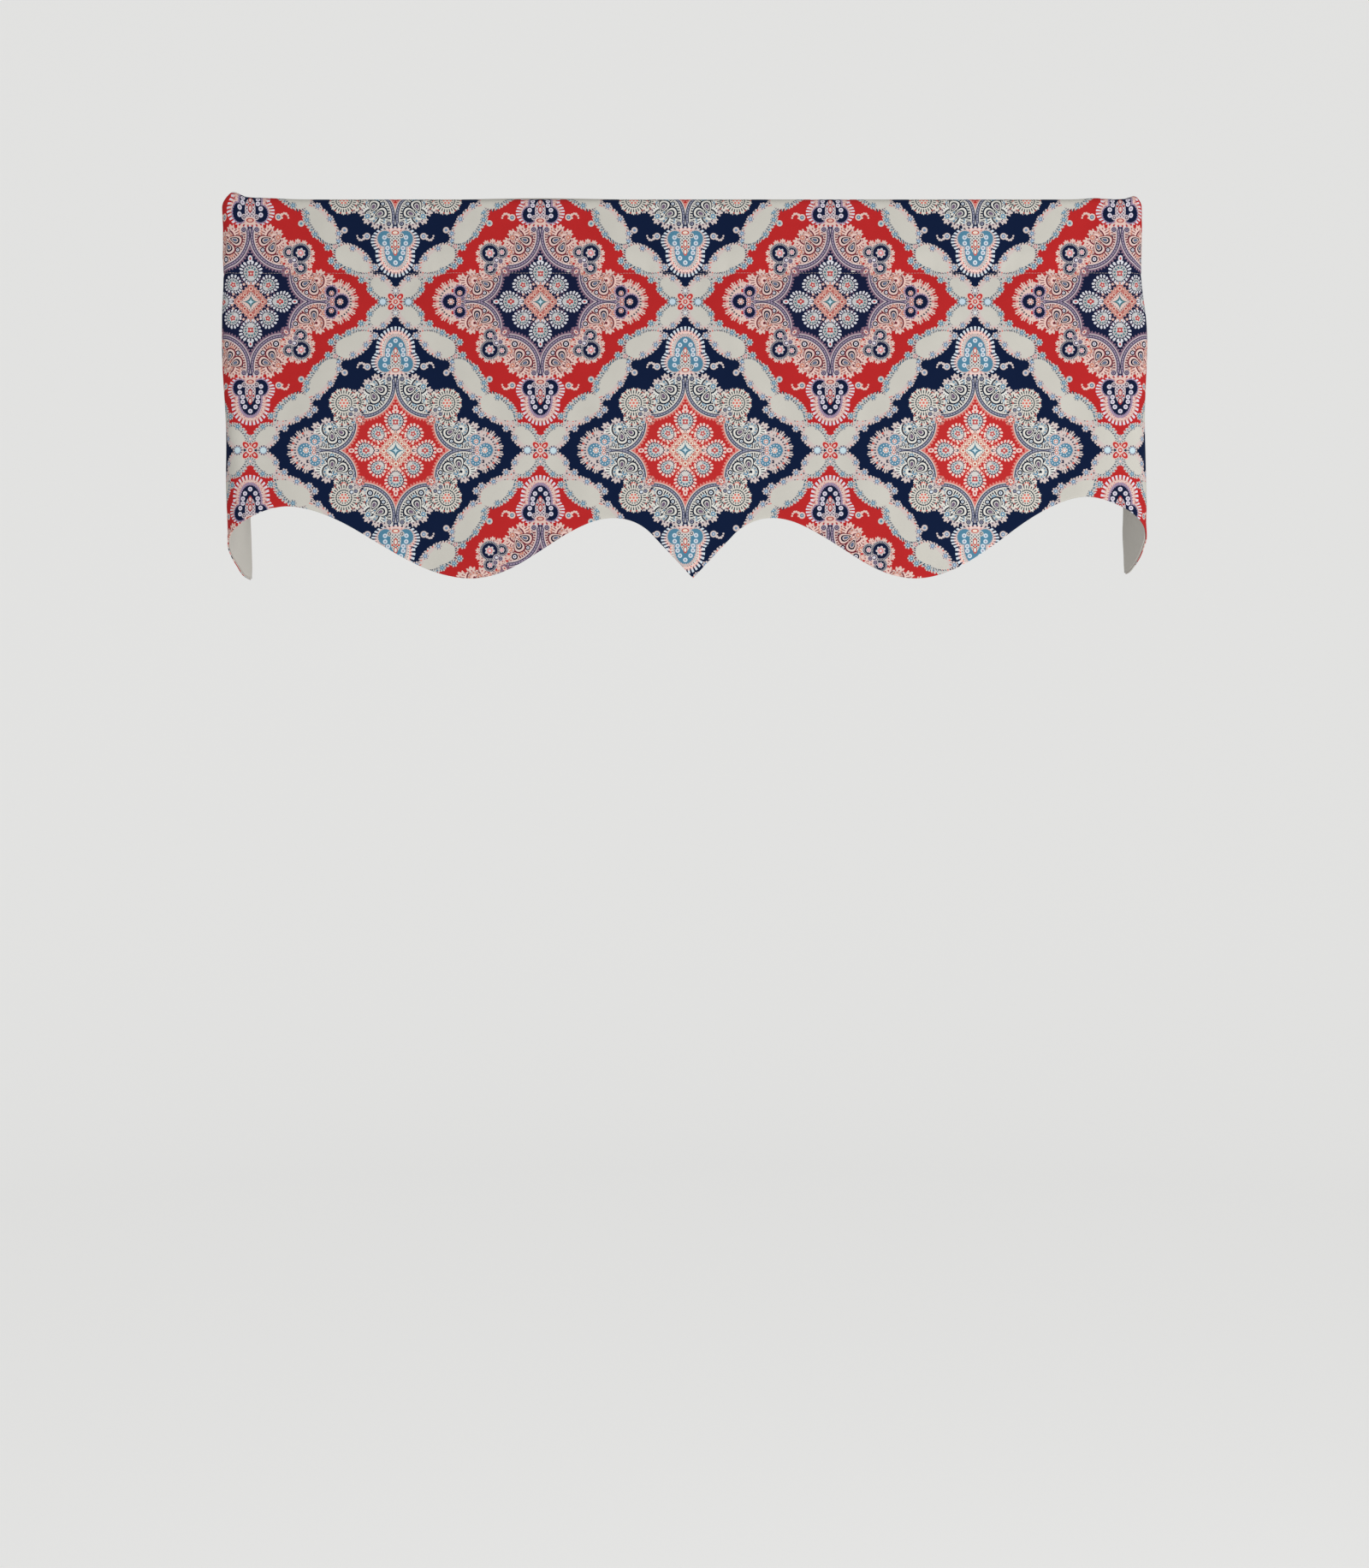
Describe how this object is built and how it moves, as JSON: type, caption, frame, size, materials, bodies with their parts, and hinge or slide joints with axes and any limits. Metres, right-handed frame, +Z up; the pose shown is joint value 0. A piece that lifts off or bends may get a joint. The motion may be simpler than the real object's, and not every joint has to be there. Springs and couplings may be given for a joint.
{
  "type": "window valance",
  "caption": "Lined window valance of printed cotton with a scalloped hem, a rod pocket along the top and a return at each side.",
  "frame": {"origin": "middle of the top edge, above the rod, at the middle of the pocket's depth", "axes": "+X along the front towards the viewer's right, +Y from the front back to the wall along the returns, +Z up"},
  "size_m": [1.0639, 0.1128, 0.4417],
  "materials": {
    "printed_cotton": "matte plain-weave cotton with a printed ogee lattice of red and navy medallions on ivory",
    "lining_cotton": "matte plain-weave lining, off-white"
  },
  "bodies": {
    "root": {"face_panel": "printed_cotton", "lining": "lining_cotton"}
  },
  "joints": []
}
